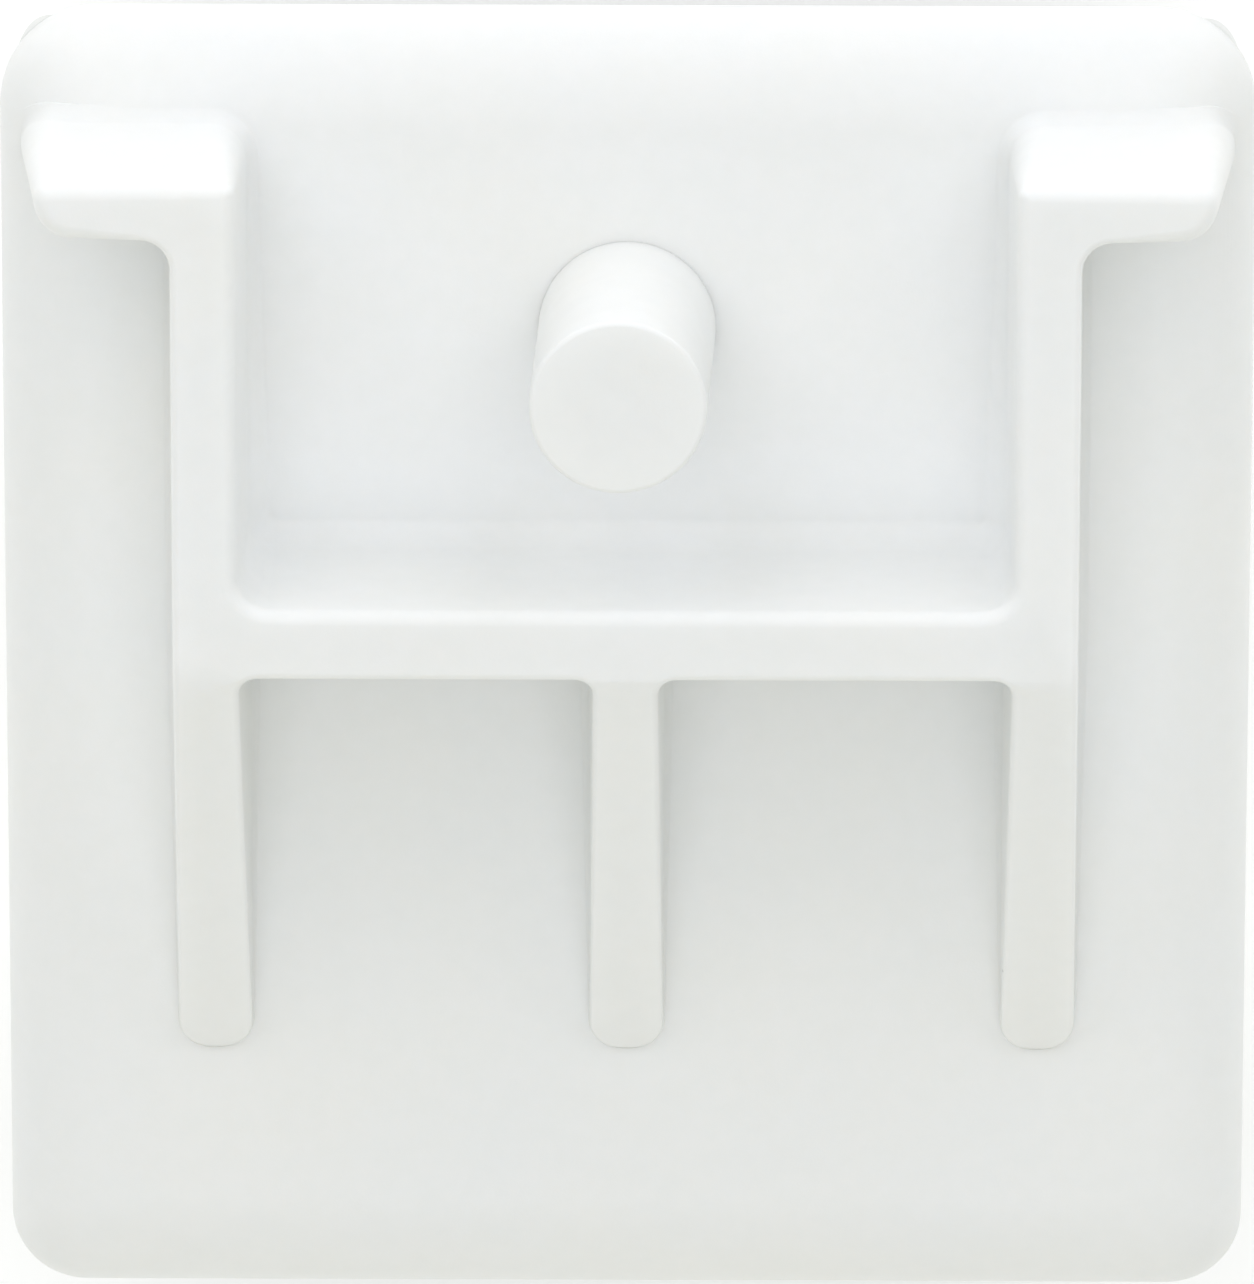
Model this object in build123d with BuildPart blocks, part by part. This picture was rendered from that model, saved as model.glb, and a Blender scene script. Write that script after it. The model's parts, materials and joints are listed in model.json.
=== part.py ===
"""Clip-in raised pavement marker, lying on its crown with its clip side up.

Millimetres. +X runs across the marker and +Y runs along it, from the feet of the gussets to the flanges of
the clip. +Z points out of the clip side. The origin is under the middle of the plate, in the plane that the
crown lies on.
"""

import os
from math import cos, radians, sin, tan

from build123d import *

# Plate of the base, with a border that rolls off in a quarter ellipse
plate_width = 100.0
plate_length = 107.0
flange_end_corner = 8.0
gusset_end_corner = 6.0
tight_corner = 1.5
roll_width = 8.6
roll_depth = 5.6
roll_steps = 6
plate_land = 1.2
plate_wall = 2.8

# Clip wall on the plate, shaped like a top hat in plan; these are its sizes at the free edge
wall_outer = 35.7
wall_inner = 30.6
crossbar_low = 5.0
crossbar_high = 10.6
flange_low = 40.9
flange_high = 45.4
flange_reach = 46.3
flange_reach_at_root = 48.0
wall_height = 18.5
wall_draft = 0.35
wall_bite = 2.4
inner_corner = 2.6
flange_inside_corner = 2.4
flange_tip_corner = 3.0
flange_tip_rear_corner = 1.4
flange_inner_corner = 0.8
flange_inner_corner_at_root = 2.4

# Gussets behind the crossbar
gusset_width = 5.2
gusset_foot = -31.4
gusset_foot_height = 0.5
gusset_foot_corner = 2.2
gusset_bay_corner = 1.45

# Locating stud, a pin that stands on the plate, with a neck that fills the hole under it and a head behind
stud_radius = 7.0
stud_y = 28.8
stud_height = 23.0
stud_tip_radius = 0.4
stud_neck_radius = 6.2
stud_head_radius = 10.0
stud_head_thickness = 2.5

# Shell of the marker: a hollow frustum, crown down
shell_height = 17.0
shell_width = 98.0
shell_length = 105.0
crown_width = 86.0
lens_slope = 30.0
side_wall = 5.0
lens_wall = 5.0
crown_wall = 3.0
shell_corner = 4.0
crown_edge_radius = 1.5
grip_radius = 26.0
grip_depth = 2.2

# Lenses and the reflector plates behind them
lens_width = 78.0
lens_run = 25.0
lens_thickness = 2.2
lens_corner = 2.0
lens_rib_width = 1.6
lens_rib_height = 0.5
lens_rib_count = 5
reflector_width = 74.0
reflector_run = 21.0
reflector_thickness = 1.2

back_face = shell_height + plate_land + roll_depth
clip_face = back_face + wall_height
wall_root = back_face - wall_bite
cavity_roof = back_face - plate_wall
foot_top = back_face + gusset_foot_height
slope_run = shell_height / tan(radians(lens_slope))
side_lean = (shell_width - crown_width) / 2 / shell_height
near = 0.01

os.makedirs("parts", exist_ok=True)


def save(piece, name):
    """Label a finished piece and write it as its own STEP file."""
    piece.part.label = name
    export_step(piece.part, f"parts/{name}.step")


def rolled_block(inset, roll, top, depth, rim):
    """A block with the plate's outline, drawn in by inset, whose border rolls off from top by depth."""
    with BuildPart() as block:
        for step in range(roll_steps + 1):
            turn = radians(90.0 * step / roll_steps)
            shrink = inset + roll * (1 - sin(turn))
            with BuildSketch(Plane.XY.offset(top - depth * (1 - cos(turn)))):
                Rectangle(plate_width - 2 * shrink, plate_length - 2 * shrink)
                for row, rim_corner in ((-1, flange_end_corner), (0, gusset_end_corner)):
                    corners = vertices().group_by(Axis.Y)[row]
                    fillet(corners, tight_corner + (rim_corner - inset - tight_corner) * sin(turn))
        loft()
        extrude(faces().sort_by(Axis.Z)[0], amount=top - depth - rim)
    return block


def clip_outline(height, grow, reach, inner_flange_radius):
    """The clip wall and the gussets in plan at one height, thickened by grow on each side."""
    outer = wall_outer + grow
    inner = wall_inner - grow
    high = flange_high + grow
    low = flange_low - grow
    bar_high = crossbar_high + grow
    bar_low = crossbar_low - grow
    foot = gusset_foot - grow
    outer_gusset = wall_outer - gusset_width - grow
    middle_gusset = gusset_width / 2 + grow
    with BuildSketch(Plane.XY.offset(height)) as outline:
        with BuildLine():
            Polyline(
                (0, bar_high), (inner, bar_high), (inner, high), (reach, high), (reach, low),
                (outer, low), (outer, foot), (outer_gusset, foot), (outer_gusset, bar_low),
                (middle_gusset, bar_low), (middle_gusset, foot), (0, foot),
            )
            mirror(about=Plane.YZ)
        make_face()
        for corner_x, corner_y, radius in (
            (inner, bar_high, inner_corner - grow),
            (inner, high, inner_flange_radius),
            (reach, high, flange_tip_rear_corner + grow),
            (reach, low, flange_tip_corner + grow),
            (outer, low, flange_inside_corner - grow),
            (outer, foot, gusset_foot_corner + grow),
            (outer_gusset, foot, gusset_foot_corner + grow),
            (outer_gusset, bar_low, gusset_bay_corner - grow),
            (middle_gusset, bar_low, gusset_bay_corner - grow),
            (middle_gusset, foot, gusset_foot_corner + grow),
        ):
            corners = [
                v for v in vertices() if abs(abs(v.X) - corner_x) < near and abs(v.Y - corner_y) < near
            ]
            fillet(corners, radius)
    return outline.sketch


# Base plate: a dished plate, its clip wall and its gussets, moulded as one
plate_body = rolled_block(0, roll_width, back_face, roll_depth, shell_height)
plate_cavity = rolled_block(
    plate_wall, roll_width - plate_wall, cavity_roof, roll_depth - plate_wall, shell_height
)
root_grow = wall_draft * (wall_height + wall_bite) / wall_height
root_reach = flange_reach + (flange_reach_at_root - flange_reach) * (wall_height + wall_bite) / wall_height

with BuildPart() as base_plate:
    loft(
        (
            clip_outline(wall_root, root_grow, root_reach, flange_inner_corner_at_root),
            clip_outline(clip_face, 0, flange_reach, flange_inner_corner),
        ),
        ruled=True,
    )
    with BuildSketch(Plane.YZ):
        with BuildLine():
            Polyline(
                (crossbar_low, clip_face), (gusset_foot, foot_top), (-plate_length / 2, foot_top),
                (-plate_length / 2, clip_face), close=True,
            )
        make_face()
    extrude(amount=plate_width / 2, both=True, mode=Mode.SUBTRACT)
    add(plate_body)
    add(plate_cavity, mode=Mode.SUBTRACT)
    with Locations((0, stud_y, back_face)):
        Hole(stud_neck_radius)
save(base_plate, "base_plate")


def frustum(bottom, top, half_width, half_length):
    """A block between two heights whose sides lean like the shell's; half sizes are at the shell's rim."""
    widths = [half_width - side_lean * (shell_height - z) for z in (bottom, top)]
    lengths = [half_length - (shell_height - z) / tan(radians(lens_slope)) for z in (bottom, top)]
    with BuildPart() as block:
        with BuildSketch(Plane.YZ):
            with BuildLine():
                Polyline(
                    (-lengths[0], bottom), (lengths[0], bottom), (lengths[1], top), (-lengths[1], top),
                    close=True,
                )
            make_face()
        extrude(amount=half_width, both=True)
        with BuildSketch(Plane.XZ):
            with BuildLine():
                Polyline(
                    (-widths[0], bottom), (widths[0], bottom), (widths[1], top), (-widths[1], top),
                    close=True,
                )
            make_face()
        extrude(amount=half_length, both=True, mode=Mode.INTERSECT)
    return block


def slope_plane(side):
    """The plane of the sloping face on one side: +1 at the flange end, -1 at the gusset end."""
    middle = (shell_length - slope_run) / 2
    outward = (0, side * sin(radians(lens_slope)), -cos(radians(lens_slope)))
    return Plane(origin=(0, side * middle, shell_height / 2), x_dir=(1, 0, 0), z_dir=outward)


# Shell: a hollow frustum with finger grips in its sides and a pocket for a lens in each slope
shell_cavity = frustum(
    crown_wall, shell_height, shell_width / 2 - side_wall,
    shell_length / 2 - lens_wall / sin(radians(lens_slope)),
)
with BuildPart() as marker_shell:
    add(frustum(0, shell_height, shell_width / 2, shell_length / 2))
    corners = [e for e in edges() if abs(e.center().Z - shell_height / 2) < near]
    fillet(corners, shell_corner)
    fillet(faces().sort_by(Axis.Z)[0].edges(), crown_edge_radius)
    grip_middle = (shell_width + crown_width) / 4 + grip_radius - grip_depth
    with BuildSketch():
        with Locations((-grip_middle, 0), (grip_middle, 0)):
            Circle(grip_radius)
    extrude(amount=shell_height, mode=Mode.SUBTRACT)
    add(shell_cavity, mode=Mode.SUBTRACT)
    for side in (1, -1):
        with BuildSketch(slope_plane(side)):
            RectangleRounded(lens_width, lens_run, lens_corner)
        extrude(amount=-lens_thickness, mode=Mode.SUBTRACT)
        with BuildSketch(slope_plane(side).offset(-lens_thickness)):
            Rectangle(reflector_width, reflector_run)
        extrude(amount=-reflector_thickness, mode=Mode.SUBTRACT)
save(marker_shell, "marker_shell")

# Lenses, each with upright ribs that keep tyres off it, and the reflector plates behind them
rib_pitch = lens_width / lens_rib_count
for side, end in ((1, "front"), (-1, "rear")):
    with BuildPart() as lens:
        with BuildSketch(slope_plane(side)):
            RectangleRounded(lens_width, lens_run, lens_corner)
        extrude(amount=-lens_thickness)
        with BuildSketch(slope_plane(side)):
            with GridLocations(rib_pitch, 0, lens_rib_count, 1):
                SlotOverall(lens_run - 2 * lens_corner, lens_rib_width, rotation=90)
        extrude(amount=lens_rib_height)
    save(lens, f"{end}_lens")
    with BuildPart() as reflector:
        with BuildSketch(slope_plane(side).offset(-lens_thickness)):
            Rectangle(reflector_width, reflector_run)
        extrude(amount=-reflector_thickness)
    save(reflector, f"{end}_reflector")

# Stud: head behind the plate, neck through its hole, pin standing on the clip side
with BuildPart() as locating_stud:
    for start, radius, length in (
        (cavity_roof - stud_head_thickness, stud_head_radius, stud_head_thickness),
        (cavity_roof, stud_neck_radius, plate_wall),
        (back_face, stud_radius, stud_height),
    ):
        with BuildSketch(Plane.XY.offset(start)):
            with Locations((0, stud_y)):
                Circle(radius)
        extrude(amount=length)
    fillet(faces().sort_by(Axis.Z)[-1].edges(), stud_tip_radius)
save(locating_stud, "locating_stud")

# Core: the filler cast into the shell and the back of the base plate, round the stud's head
with BuildPart() as core:
    add(shell_cavity)
    add(plate_cavity)
    add(locating_stud, mode=Mode.SUBTRACT)
save(core, "core")
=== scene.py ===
"""Looks of the clip-in raised pavement marker, lying on its crown with its clip side up.

The part's lengths are in millimetres until a mesh is made. +X, +Y and +Z are the frame's.
"""

import json
import math

import bmesh
import bpy
import numpy as np
from mathutils import Matrix, Vector
from mathutils.geometry import tessellate_polygon


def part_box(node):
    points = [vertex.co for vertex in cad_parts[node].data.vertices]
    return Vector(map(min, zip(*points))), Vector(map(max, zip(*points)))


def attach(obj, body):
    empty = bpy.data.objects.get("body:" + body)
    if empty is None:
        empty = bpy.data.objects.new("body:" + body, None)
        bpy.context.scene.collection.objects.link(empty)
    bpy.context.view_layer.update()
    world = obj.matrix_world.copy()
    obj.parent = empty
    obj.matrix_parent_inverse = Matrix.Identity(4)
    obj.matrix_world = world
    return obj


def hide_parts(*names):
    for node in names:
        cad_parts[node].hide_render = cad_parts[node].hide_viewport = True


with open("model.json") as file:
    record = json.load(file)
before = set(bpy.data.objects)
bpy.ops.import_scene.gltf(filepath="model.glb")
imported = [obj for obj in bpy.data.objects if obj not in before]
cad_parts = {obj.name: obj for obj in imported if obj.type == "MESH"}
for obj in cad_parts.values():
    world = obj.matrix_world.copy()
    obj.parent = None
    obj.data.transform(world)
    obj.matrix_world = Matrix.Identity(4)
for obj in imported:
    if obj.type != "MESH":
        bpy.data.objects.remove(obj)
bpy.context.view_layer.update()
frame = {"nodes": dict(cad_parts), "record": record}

MM = 0.001

# Measures read from the frame
plate_low, plate_high = (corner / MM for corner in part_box("base_plate"))
stud_low, stud_high = (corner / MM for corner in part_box("locating_stud"))
mounts = {mount["name"]: mount for mount in frame["record"]["mounts"]}
half_width = plate_high.x
half_length = plate_high.y
clip_face = plate_high.z
rim = plate_low.z
stud_y = (stud_low.y + stud_high.y) / 2
stud_radius = mounts["stud"]["dims"]["r_mm"]

# Plate of the base
roll_width = 8.6
roll_depth = 5.6
land = 1.2
plate_wall = 2.8
flange_end_corner = 8.0
gusset_end_corner = 6.0
tight_corner = 1.5
back_face = rim + land + roll_depth
cavity_roof = back_face - plate_wall
rim_break = 0.25

# Clip wall and gussets, at the free edge
wall_height = clip_face - back_face
wall_draft = 0.35
wall_outer = 35.7
wall_inner = 30.6
crossbar_low = 5.0
crossbar_high = 10.6
flange_low = 40.9
flange_high = 45.4
flange_reach = 46.3
flange_lean = 1.7
gusset_width = 5.2
gusset_foot = -31.4
gusset_foot_height = 0.5
gusset_side = wall_outer - gusset_width
inner_corner = 2.6
outer_corner = 2.4
foot_corner = 2.2
flange_wall_corner = 0.9
flange_wall_root = 2.4
flange_rear_corner = 1.4
flange_front_corner = 3.0
flange_end_root = 2.2
smallest_corner = 0.2
gusset_slope = (wall_height - gusset_foot_height) / (crossbar_low - gusset_foot)
edge_round = 1.1
flange_end_round = 1.25
bay_edge_round = 0.6
bay_corner = bay_edge_round * (1 + math.sqrt(2))
foot_edge_round = 0.2
flange_fillet = 1.1
flange_end = (flange_end_round, flange_fillet)
inner_fillet = 2.0
bay_fillet = 1.0
foot_fillet = 0.2
fillet_sweep = math.radians(70)
sunk = 0.03
skirt = 1.2

# Stud
stud_root_flare = 0.04
stud_root_radius = stud_radius + stud_root_flare
stud_neck_radius = 6.2
stud_head_radius = 10.0
stud_head_break = 0.3
stud_tip_round = 0.4
stud_lean = 0.55
stud_root_break = 0.05

# Reflector plates
lens_slope = math.radians(30)
reflector_width = 74.0
reflector_run = 21.0
reflector_thickness = 1.2
prism_side = 2.0
prism_depth = 0.75
sliver_area = 0.05

# White plastic: tints, specks of dust and how far light scatters inside it
cool_cast = (0.985, 0.992, 1.0)
warm_cast = (1.0, 1.0, 0.985)
dust = (0.3, 0.28, 0.25, 1.0)
speck_pitch = 7.5
speck_radius = 0.2
speck_strength = 0.5
scatter_share = 0.5
scatter_reach = 1.8
scatter_tint = (1.0, 0.95, 0.9)

# Camera, fitted to the photo's view: degrees and millimetres, with what it sees in metres
camera_tilt = 17.335
camera_yaw = 0.4
camera_roll = 0.069
camera_distance = 1197.7
camera_lens = 419.4
camera_target_y = 2.515
camera_near = 0.01
camera_far = 100

# Floor and light: metres, watts and linear colours
floor_size = 60.0
# The floor's glow is painted light: brightest near the part, it lifts the shade the part casts round itself,
# and fades to a faint even glow far off
painted_glow_near_part = 0.25
far_glow = 0.04
glow_start = 0.2
glow_end = 2.0
softbox_distance = 1.6
softbox_size = 1.2
cool = (0.87, 0.88, 1.0)
plain = (1.0, 0.97, 0.96)
warm = (1.0, 0.96, 0.86)
world_colour = (0.975, 1.0, 0.92, 1.0)
world_light = 0.5

# How finely rounded shapes are cut
PLATE_ARC_STEPS = 14
ROLL_STEPS = 28
CLIP_ARC_STEPS = 10
FILLET_STEPS = 6
WALL_STEPS = 6
EDGE_STEPS = 6
TUBE_STEPS = 128
EDGE_PITCH = 2.0

# Joining and shading of meshes: degrees and millimetres
smooth_angle = 32.0
prism_angle = 5
weld_gap = 0.002
split_gap = 1e-4


# ---------------------------------------------------------------------------------------------
# Mesh helpers
# ---------------------------------------------------------------------------------------------


def mesh_piece(name, points, faces, slot, replaces):
    """A mesh object from points in millimetres, which rides on the part and stands for a CAD node."""
    mesh = bpy.data.meshes.new(name)
    mesh.from_pydata([tuple(np.asarray(p) * MM) for p in points], [], faces)
    mesh.validate()
    piece = bpy.data.objects.new(name, mesh)
    bpy.context.scene.collection.objects.link(piece)
    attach(piece, "root")
    if replaces:
        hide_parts(replaces)
    return piece


def stack(rings):
    """Points and faces of a closed skin through rings of equal count, from the first ring to the last."""
    count = len(rings[0])
    points = [tuple(p) for ring in rings for p in ring]
    faces = []
    for level in range(len(rings) - 1):
        for i in range(count):
            j = (i + 1) % count
            a, b = level * count, (level + 1) * count
            faces.append((a + i, a + j, b + j, b + i))
    faces.append(tuple(reversed(range(count))))
    last = (len(rings) - 1) * count
    faces.append(tuple(range(last, last + count)))
    return points, faces


def finish_mesh(piece, angle=smooth_angle):
    """Merges doubled points, points every face outwards and smooths what is rounder than the angle."""
    shape = bmesh.new()
    shape.from_mesh(piece.data)
    bmesh.ops.remove_doubles(shape, verts=shape.verts, dist=weld_gap * MM)
    bmesh.ops.recalc_face_normals(shape, faces=shape.faces)
    shape.to_mesh(piece.data)
    shape.free()
    piece.data.polygons.foreach_set("use_smooth", [True] * len(piece.data.polygons))
    piece.data.set_sharp_from_angle(angle=math.radians(angle))


def apply_modifiers(piece):
    """Makes the evaluated mesh the piece's own and drops its modifiers."""
    graph = bpy.context.evaluated_depsgraph_get()
    made = bpy.data.meshes.new_from_object(piece.evaluated_get(graph))
    piece.modifiers.clear()
    piece.data = made


def combine(piece, other, operation):
    """Adds another mesh to a piece, or cuts it away, and removes the other."""
    boolean = piece.modifiers.new("combine", "BOOLEAN")
    boolean.operation = operation
    boolean.solver = "EXACT"
    boolean.object = other
    apply_modifiers(piece)
    bpy.data.objects.remove(other)


def weigh_normals(piece):
    """Turns corner normals to those of the large flat faces, so that flats stay flat beside roundings."""
    weighted = piece.modifiers.new("normals", "WEIGHTED_NORMAL")
    weighted.keep_sharp = True
    weighted.weight = 100


# ---------------------------------------------------------------------------------------------
# Base plate
# ---------------------------------------------------------------------------------------------


def plate_ring(inset, turn, z, hollow=0.0):
    """The plate's outline at one level, drawn in by inset. Its corners open out as the border turns down."""
    ring = []
    for sx, sy, start, rim_corner in (
        (1, -1, -90, gusset_end_corner), (1, 1, 0, flange_end_corner),
        (-1, 1, 90, flange_end_corner), (-1, -1, 180, gusset_end_corner),
    ):
        radius = tight_corner + (rim_corner - hollow - tight_corner) * turn
        centre_x = sx * (half_width - inset - radius)
        centre_y = sy * (half_length - inset - radius)
        for step in range(PLATE_ARC_STEPS + 1):
            angle = math.radians(start + 90 * step / PLATE_ARC_STEPS)
            ring.append((centre_x + radius * math.cos(angle), centre_y + radius * math.sin(angle), z))
    return ring


def roll_off(inset, width, top, depth, hollow):
    """Rings of a border that rolls off in a quarter ellipse, from its flat top outwards and down."""
    rings = []
    for step in range(ROLL_STEPS + 1):
        angle = math.pi / 2 * step / ROLL_STEPS
        out = math.sin(angle)
        rings.append(plate_ring(
            inset + width * (1 - out), out, top - depth * (1 - math.cos(angle)), hollow
        ))
    return rings


def plate_skin():
    """The dished plate: its border, its rim and the hollow behind it, as one closed skin."""
    rings = roll_off(0, roll_width, back_face, roll_depth, 0)
    rings.append(plate_ring(0, 1, rim + rim_break))
    rings.append(plate_ring(rim_break, 1, rim))
    rings.append(plate_ring(plate_wall, 1, rim, plate_wall))
    hollow = roll_off(plate_wall, roll_width - plate_wall, cavity_roof, roll_depth - plate_wall, plate_wall)
    return stack(rings + hollow[::-1])


def plate_height(x, y):
    """The height of the plate's outer surface, away from its corners."""
    inset = min(half_width - abs(x), half_length - abs(y))
    past = min(1.0, max(0.0, (roll_width - inset) / roll_width))
    return back_face - roll_depth * (1 - math.sqrt(1 - past ** 2))


def top_height(y):
    """The height of the clip's free face: level on the crossbar, sloping down along the gussets."""
    return clip_face - gusset_slope * max(0.0, crossbar_low - y)


# The corners of the clip's outline on its right half, from the crossbar round to the middle gusset: place
# at the free edge, the way each moves as the wall thickens, radius at the free edge and at the root,
# whether it is a hollow corner, and the rounding of the free edge and the fillet at the root
RIGHT_CORNERS = (
    (wall_inner, crossbar_high, -1, 1, inner_corner, inner_corner, True, edge_round, inner_fillet),
    (wall_inner, flange_high, -1, 1, flange_wall_corner, flange_wall_root, False, edge_round, flange_fillet),
    (flange_reach, flange_high, 1, 1, flange_rear_corner, flange_end_root, False, *flange_end),
    (flange_reach, flange_low, 1, -1, flange_front_corner, flange_end_root, False, *flange_end),
    (wall_outer, flange_low, 1, -1, outer_corner, outer_corner, True, bay_edge_round, bay_fillet),
    (wall_outer, crossbar_low, 1, 0, 0.0, 0.0, False, bay_edge_round, bay_fillet),
    (wall_outer, gusset_foot, 1, -1, foot_corner, foot_corner, False, foot_edge_round, foot_fillet),
    (gusset_side, gusset_foot, -1, -1, foot_corner, foot_corner, False, foot_edge_round, foot_fillet),
    (gusset_side, crossbar_low, -1, -1, bay_corner, bay_corner, True, bay_edge_round, bay_fillet),
    (gusset_width / 2, crossbar_low, 1, -1, bay_corner, bay_corner, True, bay_edge_round, bay_fillet),
    (gusset_width / 2, gusset_foot, 1, -1, foot_corner, foot_corner, False, foot_edge_round, foot_fillet),
)
CORNERS = RIGHT_CORNERS + tuple((-x, y, -mx, *rest) for x, y, mx, *rest in reversed(RIGHT_CORNERS))


def direction(here, there):
    """The unit step from one corner of the outline towards another."""
    step = np.array(there[:2]) - np.array(here[:2])
    return step / np.linalg.norm(step)


def thickened(corner, drawn_in, spread_out, share):
    """A corner's point and radius at a share of the wall's height, drawn in by a part of its edge rounding
    or spread out by a part of its root fillet.
    """
    x, y, move_x, move_y, radius, root_radius, hollow, edge, fillet = corner
    reach = flange_lean if abs(x) == flange_reach else wall_draft
    root = plate_height(abs(x) + reach, y)
    down = (clip_face - root - share * (top_height(y) - root)) / wall_height
    offset = fillet * spread_out - edge * drawn_in
    grow = wall_draft * down + offset
    point = np.array((x + move_x * (reach * down + offset), y + move_y * grow))
    radius += (root_radius - radius) * min(1.0, down)
    return point, max(radius - grow if hollow else radius + grow, smallest_corner) if radius else 0.0


def clip_outline(drawn_in, spread_out, share):
    """The outline at a share of the wall's height: its points in plan, with the edge rounding and the root
    fillet at each.
    """
    corners = [thickened(corner, drawn_in, spread_out, share) for corner in CORNERS]
    arcs = []
    for index, (point, radius) in enumerate(corners):
        into = direction(CORNERS[index], CORNERS[index - 1])
        out = direction(CORNERS[index], CORNERS[(index + 1) % len(CORNERS)])
        centre = point + (into + out) * radius
        steps = CLIP_ARC_STEPS if radius else 0
        angles = [math.pi / 2 * step / CLIP_ARC_STEPS for step in range(steps + 1)]
        arcs.append([centre - radius * (out * math.cos(a) + into * math.sin(a)) for a in angles])
    plan = []
    roundings = []
    for index, arc in enumerate(arcs):
        after = (index + 1) % len(arcs)
        here, there = np.array(CORNERS[index][-2:]), np.array(CORNERS[after][-2:])
        plan += arc
        roundings += [here] * len(arc)
        run = np.linalg.norm(np.array(CORNERS[after][:2]) - np.array(CORNERS[index][:2]))
        steps = max(1, round(run / EDGE_PITCH))
        for step in range(1, steps):
            part = step / steps
            plan.append(arc[-1] + (arcs[after][0] - arc[-1]) * part)
            roundings.append(here + (there - here) * part)
    return np.array(plan), np.array(roundings)


def root_ring(spread_out, lift, roots):
    """A ring of the clip's root fillet: spread out from the wall and lifted by parts of its width."""
    plan, roundings = clip_outline(0, spread_out, 0)
    return np.column_stack((plan, roots + lift * roundings[:, 1]))


def edge_ring(drawn_in, drop):
    """A ring of the clip's rounded free edge: drawn in and dropped from the top by parts of its radius."""
    plan, roundings = clip_outline(drawn_in, 0, 1)
    tops = np.array([top_height(y) for y in plan[:, 1]])
    return np.column_stack((plan, tops - drop * roundings[:, 0]))


def clip_skin():
    """The clip wall and gussets as one closed skin: skirt in the plate, root fillet, wall and free edge."""
    plan, _ = clip_outline(0, 1, 0)
    roots = np.array([plate_height(x, y) for x, y in plan]) - sunk
    rings = [root_ring(1, 0, roots) - (0, 0, skirt)]
    fillet_radius = 1 / (1 - math.cos(fillet_sweep))
    for step in range(FILLET_STEPS, -1, -1):
        angle = fillet_sweep * step / FILLET_STEPS
        lift = fillet_radius * (math.sin(fillet_sweep) - math.sin(angle))
        rings.append(root_ring(fillet_radius * (1 - math.cos(angle)), lift, roots))
    low, high = rings[-1], edge_ring(0, 1)
    rings += [low + (high - low) * step / WALL_STEPS for step in range(1, WALL_STEPS)]
    for step in range(EDGE_STEPS + 1):
        angle = math.pi / 2 * step / EDGE_STEPS
        rings.append(edge_ring(1 - math.cos(angle), 1 - math.sin(angle)))
    points, faces = stack(rings)
    top_cap, skirt_cap = faces.pop(), faces.pop()
    skirt_plan = [Vector((points[index][0], points[index][1], 0)) for index in skirt_cap]
    skirt_faces = [tuple(skirt_cap[k] for k in triple) for triple in tessellate_polygon([skirt_plan])]
    return points, faces + skirt_faces + split_cap(points, top_cap)


def split_cap(points, cap):
    """The free face as flat pieces: the level part, and one slope for each gusset."""
    level = []
    slopes = []
    slope = []
    for index in cap:
        beyond = crossbar_low - points[index][1]
        if beyond > split_gap:
            if not slope:
                slope = [level[-1]]
            slope.append(index)
            continue
        level.append(index)
        if slope:
            slopes.append(tuple(slope + [index]))
            slope = []
    return [tuple(level)] + slopes


def tube(rings_of, centre):
    """A closed skin of circles about a vertical line: each ring is a radius, a height and a shift in x."""
    angles = [2 * math.pi * step / TUBE_STEPS for step in range(TUBE_STEPS)]
    rings = []
    for radius, height, shift in rings_of:
        middle = centre[0] + shift
        rings.append([
            (middle + radius * math.cos(a), centre[1] + radius * math.sin(a), height) for a in angles
        ])
    return stack(rings)


def make_base_plate():
    """The plate with its clip and gussets as one moulding, with the hole for the stud's neck."""
    plate = mesh_piece("base_plate_moulding", *plate_skin(), "white_moulding", "base_plate")
    finish_mesh(plate)
    clip = mesh_piece("clip_tool", *clip_skin(), None, None)
    finish_mesh(clip)
    combine(plate, clip, "UNION")
    hole = mesh_piece("hole_tool", *tube(
        [(stud_neck_radius, rim, 0), (stud_neck_radius, clip_face, 0)], (0, stud_y)
    ), None, None)
    finish_mesh(hole)
    combine(plate, hole, "DIFFERENCE")
    finish_mesh(plate)
    weigh_normals(plate)
    return plate


def make_stud():
    """The stud: head behind the plate, neck in its hole, and a pin that leans a little to one side."""
    rings = [
        (stud_head_radius - stud_head_break, stud_low.z, 0),
        (stud_head_radius, stud_low.z + stud_head_break, 0),
        (stud_head_radius, cavity_roof - stud_head_break, 0),
        (stud_head_radius - stud_head_break, cavity_roof, 0),
        (stud_neck_radius, cavity_roof, 0), (stud_neck_radius, back_face, 0),
        (stud_root_radius - stud_root_break, back_face, 0),
        (stud_root_radius, back_face + stud_root_break, 0),
    ]
    for step in range(EDGE_STEPS + 1):
        angle = math.pi / 2 * step / EDGE_STEPS
        rings.append((
            stud_radius - stud_tip_round * (1 - math.cos(angle)),
            stud_high.z - stud_tip_round * (1 - math.sin(angle)), -stud_lean,
        ))
    stud = mesh_piece("stud_pin", *tube(rings, (0, stud_y)), "white_pin", "locating_stud")
    finish_mesh(stud)
    weigh_normals(stud)
    return stud


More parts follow.
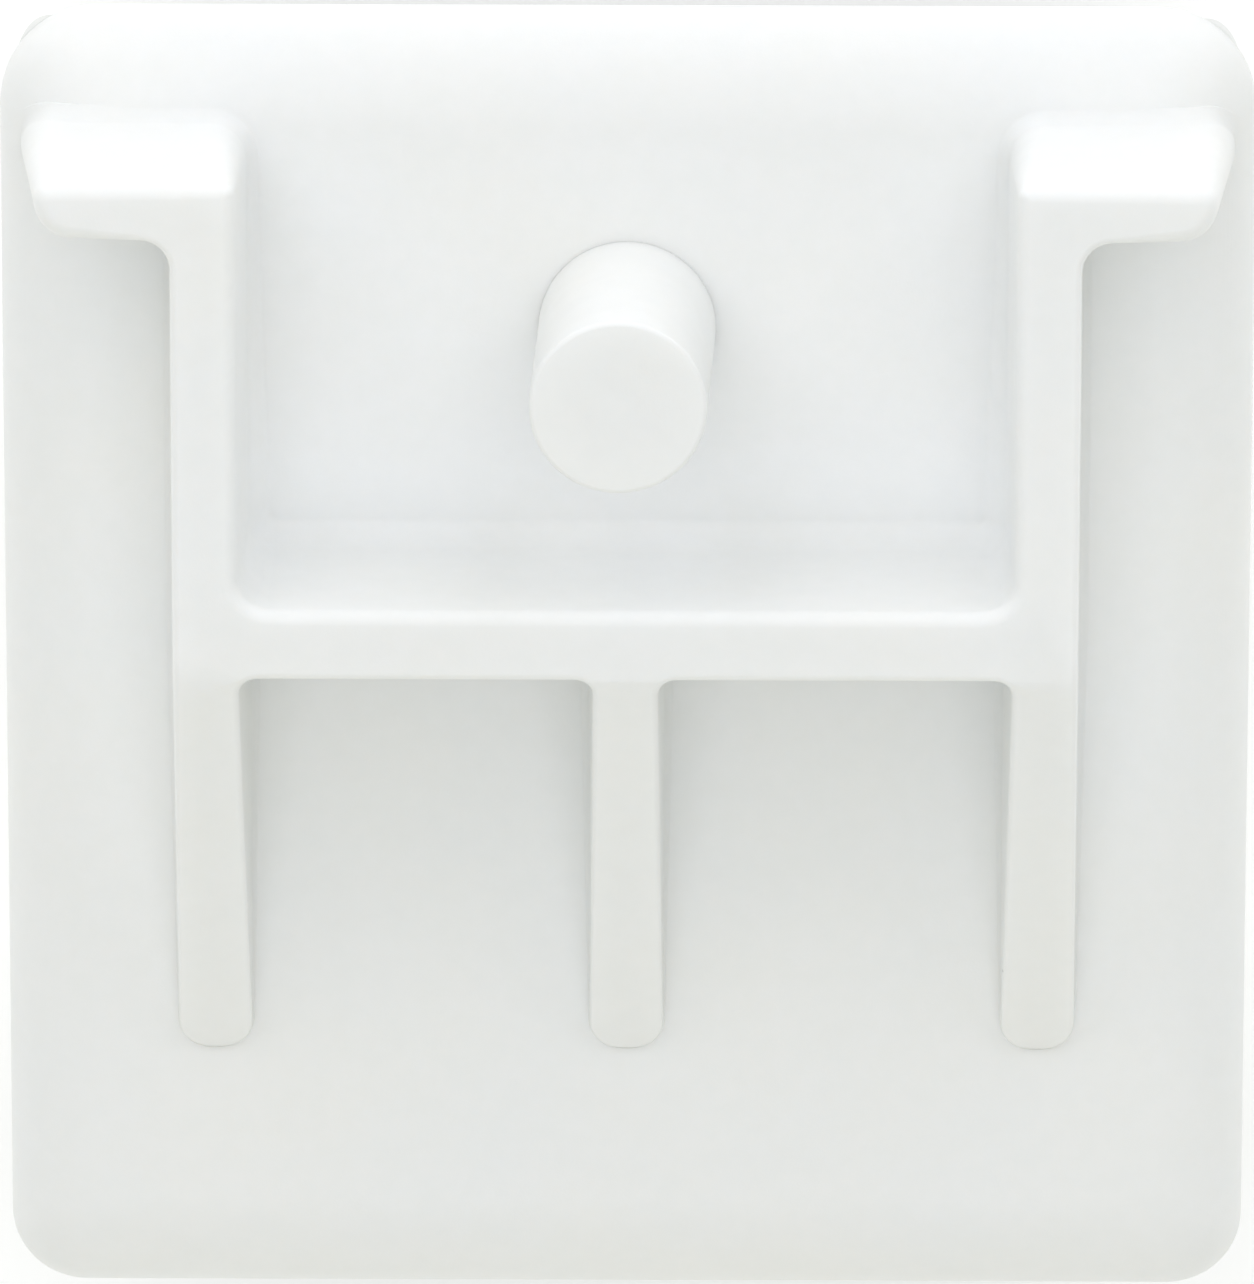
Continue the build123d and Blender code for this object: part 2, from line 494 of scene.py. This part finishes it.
def make_reflector(name, side):
    """A plate whose face behind the lens is a field of three-sided prisms, like a cube-corner reflector's."""
    columns = round(reflector_width / prism_side)
    rows = round(reflector_run / (prism_side * math.sqrt(3) / 2))
    pitch = reflector_run / rows
    half = reflector_width / 2
    half_run = reflector_run / 2
    points = []
    faces = []

    def point(u, v, depth):
        points.append((max(-half, min(half, u)), v, -depth))
        return len(points) - 1

    grid = []
    for row in range(rows + 1):
        shift = prism_side / 2 * (row % 2)
        grid.append([
            point(-half + prism_side * column - shift, -half_run + pitch * row, 0)
            for column in range(columns + 2)
        ])
    for row in range(rows):
        low, high = grid[row], grid[row + 1]
        for column in range(columns + 1):
            if row % 2:
                cells = (
                    (low[column], low[column + 1], high[column]),
                    (low[column + 1], high[column + 1], high[column]),
                )
            else:
                cells = (
                    (low[column], low[column + 1], high[column + 1]),
                    (low[column], high[column + 1], high[column]),
                )
            for cell in cells:
                corners = np.array([points[i] for i in cell])
                if np.linalg.norm(np.cross(corners[1] - corners[0], corners[2] - corners[0])) < sliver_area:
                    continue
                u, v, _ = corners.mean(axis=0)
                apex = point(u, v, prism_depth)
                faces += [(cell[0], cell[1], apex), (cell[1], cell[2], apex), (cell[2], cell[0], apex)]
    back = [
        point(u, v, reflector_thickness)
        for u, v in ((-half, -half_run), (half, -half_run), (half, half_run), (-half, half_run))
    ]
    faces.append(tuple(reversed(back)))
    lowest, highest = grid[0], grid[-1]
    first = [row[0] for row in grid]
    last = [row[-1] for row in grid]
    faces.append(tuple([back[1], back[0]] + lowest))
    faces.append(tuple([back[3], back[2]] + highest[::-1]))
    faces.append(tuple([back[0], back[3]] + first[::-1]))
    faces.append(tuple([back[2], back[1]] + last))
    normal = np.array((0, side * math.sin(lens_slope), -math.cos(lens_slope)))
    low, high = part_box(name)
    middle = np.array((0, (low.y + high.y) / 2, (low.z + high.z) / 2)) / MM
    middle = middle + normal * reflector_thickness / 2
    along = np.cross(normal, (1, 0, 0))
    placed = [middle + np.array((u, 0, 0)) + along * v + normal * w for u, v, w in points]
    piece = mesh_piece(name + "_prisms", placed, faces, "prism_plate", name)
    finish_mesh(piece, angle=prism_angle)
    return piece


# ---------------------------------------------------------------------------------------------
# Materials
# ---------------------------------------------------------------------------------------------


class Nodes:
    """A material's node tree, with short calls to add to it."""

    def __init__(self, name):
        self.material = bpy.data.materials.new(name)
        self.material.use_nodes = True
        self.tree = self.material.node_tree
        self.shader = self.tree.nodes["Principled BSDF"]
        self.place = self.add("ShaderNodeTexCoord").outputs["Object"]

    def add(self, kind, inputs=None, **settings):
        node = self.tree.nodes.new(kind)
        for key, value in settings.items():
            setattr(node, key, value)
        for key, value in (inputs or {}).items():
            if isinstance(value, bpy.types.NodeSocket):
                self.tree.links.new(value, node.inputs[key])
            else:
                node.inputs[key].default_value = value
        return node

    def link(self, output, key):
        self.tree.links.new(output, self.shader.inputs[key])

    def noise(self, size, detail=2.0, roughness=0.5, stretch=None):
        """Noise with features of about size millimetres, from 0 to 1."""
        place = self.place
        if stretch:
            place = self.add("ShaderNodeMapping", {"Vector": place, "Scale": stretch}).outputs["Vector"]
        return self.add("ShaderNodeTexNoise", {
            "Vector": place, "Scale": 1 / (size * MM), "Detail": detail, "Roughness": roughness,
        }).outputs["Fac"]

    def spread(self, value, low, high, to_low, to_high):
        return self.add("ShaderNodeMapRange", {
            "Value": value, "From Min": low, "From Max": high, "To Min": to_low, "To Max": to_high,
        }).outputs["Result"]

    def maths(self, operation, a, b):
        return self.add("ShaderNodeMath", {0: a, 1: b}, operation=operation).outputs["Value"]

    def mix(self, share, a, b, blend="MIX"):
        node = self.tree.nodes.new("ShaderNodeMix")
        node.data_type = "RGBA"
        node.blend_type = blend
        for socket, value in ((node.inputs[0], share), (node.inputs[6], a), (node.inputs[7], b)):
            if isinstance(value, bpy.types.NodeSocket):
                self.tree.links.new(value, socket)
            else:
                socket.default_value = value
        return node.outputs[2]

    def bump(self, height, distance, strength=1.0, normal=None):
        inputs = {"Height": height, "Distance": distance * MM, "Strength": strength}
        if normal:
            inputs["Normal"] = normal
        return self.add("ShaderNodeBump", inputs).outputs["Normal"]

    def specks(self, pitch, radius, share):
        """1 in small round specks, at most one in each cell of the given pitch, in a share of the cells."""
        cells = self.add("ShaderNodeTexVoronoi", {"Vector": self.place, "Scale": 1 / (pitch * MM)})
        near = self.spread(cells.outputs["Distance"], radius / pitch, 0.4 * radius / pitch, 0.0, 1.0)
        chosen = self.maths("LESS_THAN", self.add("ShaderNodeSeparateColor", {
            "Color": cells.outputs["Color"]
        }).outputs["Red"], share)
        return self.maths("MULTIPLY", near, chosen)


def white_plastic(name, tone, roughness, grain, speck_share):
    """Satin white moulding: faint clouds in its tone, a fine spark-eroded grain, specks and scuffs."""
    nodes = Nodes(name)
    clouds = nodes.spread(nodes.noise(22, 3.0), 0.3, 0.7, 0.0, 1.0)
    cool_tone = tuple(tone[k] * cool_cast[k] for k in range(3)) + (1.0,)
    warm_tone = tuple(tone[k] * warm_cast[k] for k in range(3)) + (1.0,)
    colour = nodes.mix(clouds, cool_tone, warm_tone)
    fine = nodes.spread(nodes.noise(2.2, 4.0, 0.6), 0.35, 0.65, 0.986, 1.0)
    shade = nodes.add("ShaderNodeCombineColor", {"Red": fine, "Green": fine, "Blue": fine}).outputs["Color"]
    colour = nodes.mix(1.0, colour, shade, "MULTIPLY")
    specks = nodes.maths("MULTIPLY", nodes.specks(speck_pitch, speck_radius, speck_share), speck_strength)
    colour = nodes.mix(specks, colour, dust)
    nodes.link(colour, "Base Color")
    scuffs = nodes.spread(nodes.noise(5.0, 5.0, 0.65, (1.0, 0.25, 1.0)), 0.42, 0.62, 0.0, 1.0)
    nodes.link(nodes.spread(scuffs, 0.0, 1.0, roughness, roughness + 0.08), "Roughness")
    wave = nodes.bump(nodes.noise(18, 1.0), 0.05, 0.5)
    texture = nodes.bump(nodes.noise(0.22, 2.0, 0.6), grain, 0.6, wave)
    nodes.link(texture, "Normal")
    shader = nodes.shader.inputs
    shader["IOR"].default_value = 1.5
    shader["Subsurface Weight"].default_value = scatter_share
    shader["Subsurface Radius"].default_value = scatter_tint
    shader["Subsurface Scale"].default_value = scatter_reach * MM
    return nodes.material


def clear_acrylic(name):
    """Polished clear acrylic with a breath of haze and hairline scratches."""
    nodes = Nodes(name)
    haze = nodes.noise(6.0, 4.0, 0.6, (1.0, 0.3, 1.0))
    nodes.link(nodes.spread(haze, 0.35, 0.7, 0.04, 0.14), "Roughness")
    nodes.link(nodes.mix(haze, (0.94, 0.96, 0.96, 1.0), (0.98, 0.985, 0.98, 1.0)), "Base Color")
    nodes.link(nodes.bump(nodes.noise(3.0, 2.0), 0.02, 0.4), "Normal")
    nodes.shader.inputs["Transmission Weight"].default_value = 0.92
    nodes.shader.inputs["IOR"].default_value = 1.49
    return nodes.material


def metallised(name):
    """The silvered back of the prisms, with a faint cloudiness in its brightness."""
    nodes = Nodes(name)
    cloud = nodes.noise(4.0, 3.0)
    nodes.link(nodes.mix(cloud, (0.72, 0.74, 0.76, 1.0), (0.86, 0.87, 0.88, 1.0)), "Base Color")
    nodes.link(nodes.spread(cloud, 0.3, 0.7, 0.12, 0.24), "Roughness")
    nodes.link(nodes.bump(nodes.noise(0.5, 2.0), 0.004, 0.3), "Normal")
    nodes.shader.inputs["Metallic"].default_value = 0.9
    return nodes.material


def sand_filler(name):
    """Cast resin full of sand: pale grey-brown with coarse and fine grains."""
    nodes = Nodes(name)
    coarse = nodes.add("ShaderNodeTexVoronoi", {"Vector": nodes.place, "Scale": 1 / (1.1 * MM)})
    grain = nodes.add("ShaderNodeSeparateColor", {"Color": coarse.outputs["Color"]}).outputs["Green"]
    nodes.link(nodes.mix(grain, (0.5, 0.47, 0.42, 1.0), (0.72, 0.7, 0.66, 1.0)), "Base Color")
    nodes.link(nodes.spread(grain, 0.0, 1.0, 0.6, 0.9), "Roughness")
    nodes.link(nodes.bump(coarse.outputs["Distance"], 0.3, 0.6), "Normal")
    return nodes.material


def pale_floor(name):
    """A matt, nearly white floor with a very faint mottling, which glows a little near the part: painted
    light that lifts the shade the part casts on the floor round itself.
    """
    nodes = Nodes(name)
    nodes.link(nodes.mix(nodes.noise(60, 3.0), (0.9, 0.9, 0.9, 1.0), (0.93, 0.93, 0.93, 1.0)), "Base Color")
    nodes.shader.inputs["Roughness"].default_value = 0.9
    nodes.shader.inputs["Emission Color"].default_value = (1.0, 1.0, 1.0, 1.0)
    # Painted light: emission is strongest near the part and fades with distance, lifting the shade the part
    # casts on the floor
    away = nodes.add("ShaderNodeVectorMath", {0: nodes.place}, operation="LENGTH").outputs["Value"]
    nodes.link(nodes.spread(away, glow_start, glow_end, painted_glow_near_part, far_glow), "Emission Strength")
    return nodes.material


def dress(piece, material):
    """Gives every face of a piece one material."""
    piece.data.materials.clear()
    piece.data.materials.append(material)


# ---------------------------------------------------------------------------------------------
# Pieces and their materials
# ---------------------------------------------------------------------------------------------

base_plate = make_base_plate()
dress(base_plate, white_plastic(
    "moulding_white", (0.925, 0.93, 0.925), roughness=0.42, grain=0.012, speck_share=0.12
))
stud = make_stud()
dress(stud, white_plastic(
    "pin_white", (0.92, 0.925, 0.92), roughness=0.4, grain=0.01, speck_share=0.08
))
silver = metallised("prism_silver")
for side, end in ((1, "front"), (-1, "rear")):
    dress(make_reflector(end + "_reflector", side), silver)
acrylic = clear_acrylic("lens_acrylic")
shell_white = white_plastic(
    "shell_white", (0.88, 0.885, 0.875), roughness=0.5, grain=0.03, speck_share=0.2
)
for node, material in (
    ("marker_shell", shell_white),
    ("front_lens", acrylic),
    ("rear_lens", acrylic),
    ("core", sand_filler("core_filler")),
):
    dress(frame["nodes"][node], material)

# ---------------------------------------------------------------------------------------------
# Floor, light and camera
# ---------------------------------------------------------------------------------------------


def make_floor():
    """A level floor under the crown, far wider than any view."""
    half = floor_size / 2
    mesh = bpy.data.meshes.new("floor")
    corners = [(-half, -half, 0), (half, -half, 0), (half, half, 0), (-half, half, 0)]
    mesh.from_pydata(corners, [], [(0, 1, 2, 3)])
    floor = bpy.data.objects.new("floor", mesh)
    bpy.context.scene.collection.objects.link(floor)
    dress(floor, pale_floor("floor_pale"))


def softbox(name, azimuth, elevation, power, colour):
    """A square area light that faces the middle of the part. Azimuth 0 is over +Y, 90 over +X."""
    light = bpy.data.lights.new(name, "AREA")
    light.size = softbox_size
    light.energy = power
    light.color = colour
    lamp = bpy.data.objects.new(name, light)
    bpy.context.scene.collection.objects.link(lamp)
    a, e = math.radians(azimuth), math.radians(elevation)
    back = Vector((math.sin(a) * math.cos(e), math.cos(a) * math.cos(e), math.sin(e)))
    lamp.location = Vector((0, 0, back_face * MM)) + back * softbox_distance
    lamp.rotation_mode = "QUATERNION"
    lamp.rotation_quaternion = back.to_track_quat("Z", "Y")


def make_world():
    """Even light from all round, in the tint of the photo's lower half."""
    world = bpy.data.worlds.new("studio")
    world.use_nodes = True
    background = world.node_tree.nodes["Background"].inputs
    background["Color"].default_value = world_colour
    background["Strength"].default_value = world_light
    bpy.context.scene.world = world


def make_camera():
    """Looks down on the clip side, tipped back towards the flanges, from far off with a long lens."""
    tilt, yaw, roll = (math.radians(angle) for angle in (camera_tilt, camera_yaw, camera_roll))
    back = Vector((math.sin(yaw), math.cos(yaw) * math.sin(tilt), math.cos(yaw) * math.cos(tilt)))
    right = Vector((0, 1, 0)).cross(back).normalized()
    up = back.cross(right)
    side = right * math.cos(roll) + up * math.sin(roll)
    top = up * math.cos(roll) - right * math.sin(roll)
    lens = bpy.data.cameras.new("camera")
    lens.lens = camera_lens
    lens.clip_start = camera_near
    lens.clip_end = camera_far
    camera = bpy.data.objects.new("camera", lens)
    bpy.context.scene.collection.objects.link(camera)
    target = Vector((0, camera_target_y * MM, back_face * MM))
    camera.matrix_world = Matrix.Translation(target + back * camera_distance * MM) @ Matrix(
        (side, top, back)
    ).transposed().to_4x4()
    bpy.context.scene.camera = camera


make_floor()

# Each light's name, azimuth and elevation in degrees, power in watts and colour
softbox("low_left", -30, 20, 4.0, cool)
softbox("low_right", 30, 20, 4.6, cool)
softbox("high_left", -30, 45, 3.4, plain)
softbox("high_right", 30, 45, 2.1, plain)
softbox("overhead", 0, 88, 5.0, cool)
softbox("back", 180, 15, 4.3, warm)

make_world()
bpy.context.scene.view_settings.view_transform = "Standard"
make_camera()
